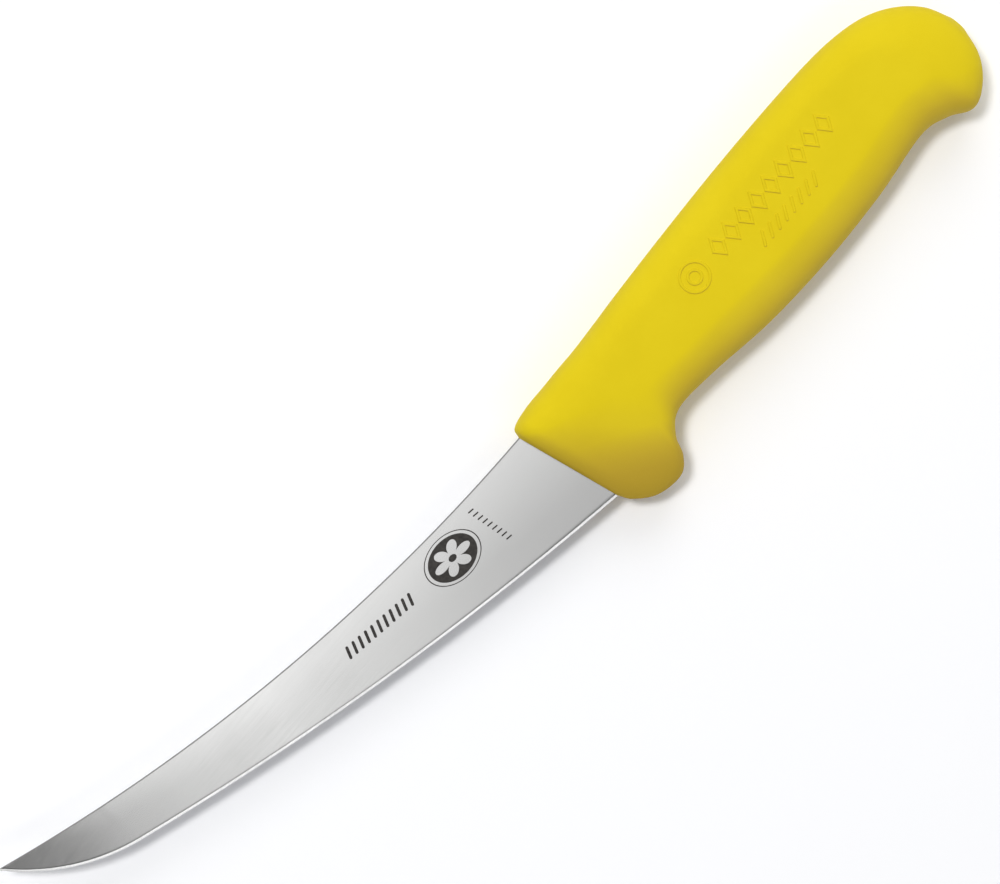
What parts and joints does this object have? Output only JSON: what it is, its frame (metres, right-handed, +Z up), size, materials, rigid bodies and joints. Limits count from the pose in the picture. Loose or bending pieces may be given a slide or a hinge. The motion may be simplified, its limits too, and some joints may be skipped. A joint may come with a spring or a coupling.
{
  "type": "boning knife",
  "caption": "Curved boning knife: slim upswept ground steel blade with hidden tang in a moulded handle with finger guard and hooked butt.",
  "frame": {"origin": "bottom centre of the bounding box, with the knife lying on its side", "axes": "+X along the handle's axis from blade to butt, +Y towards the spine, +Z up through the side that faces up"},
  "size_m": [0.2736, 0.0576, 0.021],
  "materials": {
    "blade_steel": "fine satin grind along the blade",
    "core_plastic": "as moulded",
    "grip_plastic": "fine matt moulded texture"
  },
  "bodies": {
    "root": {"blade": "blade_steel", "handle_core": "core_plastic", "handle_grip": "grip_plastic"}
  },
  "joints": []
}
